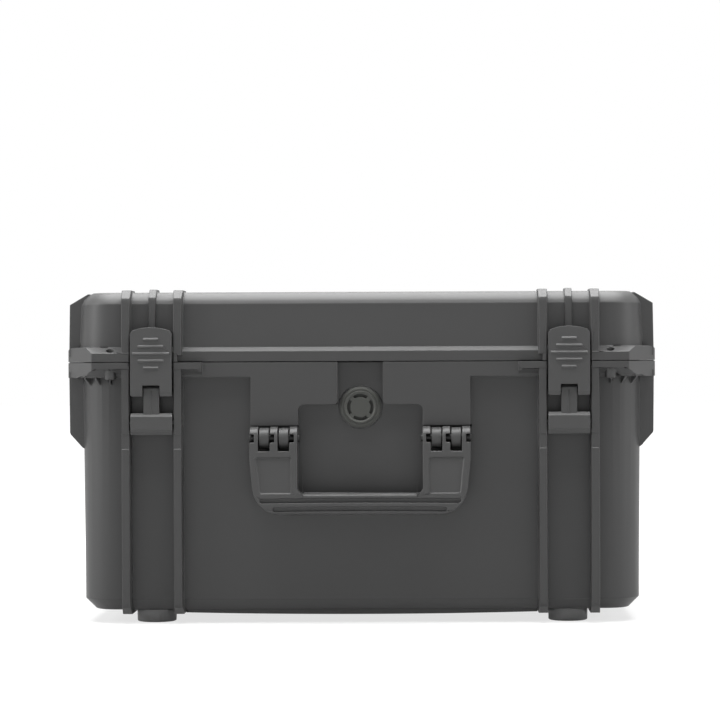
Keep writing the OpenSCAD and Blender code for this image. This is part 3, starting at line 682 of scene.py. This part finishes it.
@dataclass
class PressureValve:
    """The vent valve in the front wall, made as turned forms about its axis. Sizes in millimetres.

    A radius is taken from the axis of the valve and an offset out of the front wall.
    """

    radius_mm: float = 0.2
    nut_radius_mm: float = 0.4
    step_deg: float = 2.0
    weld_m: float = 1e-6
    bore_r: float = 1.8
    neck_r: float = 8.0
    tail_out: float = -14.0
    seat_r: float = 8.8  # seat of the membrane
    seat_out: float = 2.0
    well_r: float = 13.4  # annular well round the seat
    well_out: float = 1.6
    rim_back: float = 1.0
    # round shoulder from the rim to the face of the body, as [radius, offset]
    shoulder: tuple[tuple[float, float], ...] = (
        (19.2, 2.6), (18.9, 3.1), (18.2, 3.4), (17.0, 4.1), (15.9, 4.2),
    )
    cap_out: float = 6.0
    cap_back: tuple[float, float] = (2.6, 4.3)  # back of the cap inside its slots, and from them on
    hub_r: float = 4.0
    slot_r: tuple[float, float] = (9.5, 12.3)
    slot_half_deg: float = 34.0
    slot_pitch_deg: float = 90.0
    bead_from: float = 12.9
    bead_wide: float = 2.9
    bead_tall: float = 0.75
    bead_blunt: float = 0.8  # power under 1 that makes the sine blunter
    bead_rings: tuple[float, ...] = (12.7, 13.0, 13.4, 13.9, 14.4, 14.8, 15.1, 15.3)
    rim_drop: float = 0.9

    def turned(self, r: np.ndarray, out: np.ndarray, turns: np.ndarray) -> np.ndarray:
        """Place rings about the valve axis: x = r sin t, height = r cos t, offset out of the wall.

        Args:
            r: radii, one a ring.
            out: offsets out of the front wall, one a ring.
            turns: angles from the upright, in radians.

        Returns:
            Rings by turns by 3 array, in metres.
        """
        x = r[:, None] * np.sin(turns)
        z = CASE.valve_z + r[:, None] * np.cos(turns)
        y = np.broadcast_to(CASE.front_y - out[:, None], x.shape)
        return np.stack([x, y, z], axis=2) * MM

    def closed_piece(self, points: np.ndarray, faces: np.ndarray, name: str, stands_for: str) -> None:
        """Make a closed piece of the valve from points and faces, weld it and turn its faces outwards.

        Args:
            points: array in metres whose last axis is x, y, z.
            faces: m by 4 array of point numbers.
            name: name of the piece.
            stands_for: CAD node that it replaces.
        """
        mesh = bpy.data.meshes.new(name)
        mesh.from_pydata(points.reshape(-1, 3).tolist(), [], faces.tolist())
        bm = bmesh.new()
        bm.from_mesh(mesh)
        bmesh.ops.remove_doubles(bm, verts=bm.verts, dist=self.weld_m)
        bmesh.ops.dissolve_degenerate(bm, edges=bm.edges, dist=self.weld_m)
        bmesh.ops.recalc_face_normals(bm, faces=bm.faces)
        bm.to_mesh(mesh)
        bm.free()
        show(mesh, name, stands_for, "base", Finish.VALVE, self.radius_mm)

    def body(self) -> None:
        """Turn the body: its closed section [radius, offset] goes once round, with an annular well."""
        rim_r, face_out = self.shoulder[0][0], self.shoulder[-1][1]
        section = np.array([
            [self.bore_r, self.tail_out], [self.neck_r, self.tail_out],
            [self.neck_r, self.rim_back], [rim_r, self.rim_back], *self.shoulder,
            [self.well_r, face_out], [self.well_r, self.well_out],
            [self.seat_r, self.well_out], [self.seat_r, self.seat_out], [self.bore_r, self.seat_out],
        ])
        turns = np.radians(np.arange(0.0, 360.0, self.step_deg))
        rings = self.turned(section[:, 0], section[:, 1], turns)
        number = np.arange(len(section) * len(turns)).reshape(len(section), len(turns))
        after, turn = np.roll(number, -1, axis=0), np.roll(number, -1, axis=1)
        faces = np.stack([number, after, np.roll(after, -1, axis=1), turn], axis=2).reshape(-1, 4)
        self.closed_piece(rings, faces, "valve_body_turned", "valve_body")

    def cap(self) -> None:
        """Make the cap: a disc with a round bead at its rim, pierced by four curved slots.

        The front and the back are one grid of rings by turns. Cells inside a slot are left out of
        both, and a wall joins front and back wherever an open cell meets a closed one. The bead
        is a sine over its width, raised to a power.
        """
        r = np.array([0.0, self.hub_r, self.seat_r, *self.slot_r, *self.bead_rings])
        share = np.clip((r - self.bead_from) / self.bead_wide, 0.0, 1.0)
        bead = self.bead_tall * np.sin(np.pi * share) ** self.bead_blunt
        front = self.cap_out + bead - self.rim_drop * (r == r[-1])
        back = np.where(r < self.slot_r[0], *self.cap_back)
        turns = np.arange(0.0, 360.0, self.step_deg)
        half = self.slot_pitch_deg / 2
        from_slot = np.abs((turns + self.step_deg / 2 + half) % self.slot_pitch_deg - half)
        shut = ~((r[:-1] == self.slot_r[0])[:, None] & (from_slot < self.slot_half_deg)[None, :])
        angles = np.radians(turns)
        grid = np.stack([self.turned(r, front, angles), self.turned(r, back, angles)])
        n, m = len(r), len(turns)
        number = np.arange(2 * n * m).reshape(2, n, m)
        turn = np.roll(number, -1, axis=2)
        cells = np.stack([number[:, :-1], number[:, 1:], turn[:, 1:], turn[:, :-1]], axis=3)
        ring_wall = np.stack([number[0], turn[0], turn[1], number[1]], axis=2)
        spoke_wall = np.stack([number[0, :-1], number[0, 1:], number[1, 1:], number[1, :-1]], axis=2)
        closed = np.concatenate([np.ones((1, m), bool), shut, np.zeros((1, m), bool)])
        along = closed[1:] != closed[:-1]
        aside = shut != np.roll(shut, 1, axis=1)
        faces = np.concatenate([cells[:, shut].reshape(-1, 4), ring_wall[along], spoke_wall[aside]])
        self.closed_piece(grid, faces, "valve_cap_pierced", "valve_cap")

    def build(self) -> None:
        """Make the body and the cap, round the nut and dress the rest."""
        self.body()
        self.cap()
        MouldedPiece("valve_nut", "base", Finish.VALVE, self.nut_radius_mm).build()
        dress(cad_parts["valve_membrane"], Finish.MEMBRANE)
        dress(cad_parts["valve_seal"], Finish.SEAL)


@dataclass
class Feet:
    """The four rubber feet."""

    radius_mm: float = 0.8

    def build(self) -> None:
        """Round the feet."""
        for place in ("front_left", "front_right", "rear_left", "rear_right"):
            MouldedPiece(f"foot_{place}", "base", Finish.FOOT, self.radius_mm).build()


# ------------------------------------------------------------------ studio


@dataclass(frozen=True)
class Lamp:
    """One soft rectangular lamp. Places and sizes in metres, power in watts."""

    name: str
    place: tuple[float, float, float]
    aim: tuple[float, float, float]
    size: tuple[float, float]
    power: float

    def build(self) -> None:
        """Make the lamp and turn it to face its aim."""
        data = bpy.data.lights.new(self.name, "AREA")
        data.shape = "RECTANGLE"
        data.size, data.size_y = self.size
        data.energy = self.power
        obj = bpy.data.objects.new(self.name, data)
        bpy.context.scene.collection.objects.link(obj)
        obj.location = self.place
        obj.rotation_euler = (Vector(self.aim) - Vector(self.place)).to_track_quat("-Z", "Y").to_euler()


LAMPS = (
    Lamp("overhead", (0.0, 0.0, 1.9), (0.0, 0.0, 0.2), (2.2, 1.8), 124.0),
    Lamp("left", (-2.3, -0.7, 1.2), (0.0, -0.15, 0.2), (0.8, 1.6), 40.0),
    Lamp("right", (2.3, -0.7, 1.2), (0.0, -0.15, 0.2), (0.8, 1.6), 24.0),
)


@dataclass
class Studio:
    """Camera, world, floor and lamps. Sizes in metres."""

    front_plane: float = -0.200
    distance: float = 2.5
    horizon: float = 0.2456
    side: float = 0.0755
    yaw_deg: float = 0.54
    roll_deg: float = -0.23
    shift: float = -0.0775
    metres_across: float = 0.6689  # what the picture spans in the front plane
    sensor_mm: float = 36.0
    view_end: float = 60.0
    world_rise: tuple[float, float] = (-0.3, 1.0)  # from below the horizon to straight up
    world_light: tuple[float, float] = (0.05, 0.16)
    floor_half: float = 12.0
    floor_lit: float = 0.5  # grey that lights the case from below
    floor_seen: float = 0.25  # grey that the camera sees, under the glow
    glow_range: tuple[float, float] = (0.35, 1.1)  # distances over which the glow grows
    glow: tuple[float, float] = (0.72, 1.05)

    def camera(self) -> None:
        """Make the level camera of the photo: a little right of the middle and nearly square."""
        data = bpy.data.cameras.new("camera")
        data.sensor_width = self.sensor_mm
        data.lens = self.sensor_mm * self.distance / self.metres_across
        data.shift_x = self.shift
        data.clip_end = self.view_end
        cam = bpy.data.objects.new("camera", data)
        bpy.context.scene.collection.objects.link(cam)
        cam.location = (self.side, self.front_plane - self.distance, self.horizon)
        turn = Matrix.Rotation(math.radians(self.yaw_deg), 4, "Z") @ Matrix.Rotation(math.radians(90), 4, "X")
        cam.rotation_euler = (turn @ Matrix.Rotation(math.radians(self.roll_deg), 4, "Z")).to_euler()
        bpy.context.scene.camera = cam

    def world(self) -> None:
        """Make a world that is brighter overhead, and white where the camera looks past the case."""
        world = bpy.data.worlds.new("studio")
        bpy.context.scene.world = world
        world.use_nodes = True
        tree = world.node_tree
        tree.nodes.clear()
        ray = add(tree, "ShaderNodeTexCoord").outputs["Generated"]
        up = add(tree, "ShaderNodeSeparateXYZ", {"Vector": ray})
        level = add(
            tree, "ShaderNodeMapRange", {"Value": up.outputs["Z"]},
            From_Min=self.world_rise[0], From_Max=self.world_rise[1],
            To_Min=self.world_light[0], To_Max=self.world_light[1],
        )
        soft = add(tree, "ShaderNodeBackground", {"Strength": level.outputs["Result"]}, Color=WHITE)
        white = add(tree, "ShaderNodeBackground", Color=WHITE, Strength=1.0)
        mix = add(tree, "ShaderNodeMixShader", {0: seen(tree), 1: soft.outputs[0], 2: white.outputs[0]})
        add(tree, "ShaderNodeOutputWorld", {"Surface": mix.outputs[0]})

    def floor(self) -> None:
        """Make a pale floor that reads white but keeps the shadow of the case."""
        mesh = bpy.data.meshes.new("floor")
        r = self.floor_half
        mesh.from_pydata([(-r, -r, 0), (r, -r, 0), (r, r, 0), (-r, r, 0)], [], [(0, 1, 2, 3)])
        obj = bpy.data.objects.new("floor", mesh)
        bpy.context.scene.collection.objects.link(obj)
        mat, tree, out = fresh("floor_matte_white")
        matte = add(tree, "ShaderNodeBsdfDiffuse", Color=grey(self.floor_lit))
        pale = add(tree, "ShaderNodeBsdfDiffuse", Color=grey(self.floor_seen))
        place = add(tree, "ShaderNodeTexCoord").outputs["Object"]
        far = add(tree, "ShaderNodeVectorMath", {0: place}, operation="LENGTH")
        level = add(
            tree, "ShaderNodeMapRange", {"Value": far.outputs["Value"]}, interpolation_type="SMOOTHSTEP",
            From_Min=self.glow_range[0], From_Max=self.glow_range[1],
            To_Min=self.glow[0], To_Max=self.glow[1],
        )
        lift = add(tree, "ShaderNodeEmission", {"Strength": level.outputs["Result"]}, Color=WHITE)
        both = add(tree, "ShaderNodeAddShader", {0: pale.outputs[0], 1: lift.outputs[0]})
        mix = add(tree, "ShaderNodeMixShader", {0: seen(tree), 1: matte.outputs[0], 2: both.outputs[0]})
        tree.links.new(mix.outputs[0], out.inputs["Surface"])
        mesh.materials.append(mat)

    def build(self) -> None:
        """Make the whole studio."""
        self.camera()
        self.world()
        self.floor()
        for lamp in LAMPS:
            lamp.build()
        bpy.context.scene.view_settings.view_transform = "Standard"


# ------------------------------------------------------------------ main


def main() -> None:
    """Build the studio and every sub-assembly."""
    logging.basicConfig(level=logging.INFO, format="%(name)s %(message)s")
    for part in (Studio(), Shells(), Latches(), CarryHandle(), PressureValve(), Feet()):
        part.build()
        LOG.info("built %s", type(part).__name__)
    bpy.context.view_layer.update()


if __name__ == "__main__":
    main()
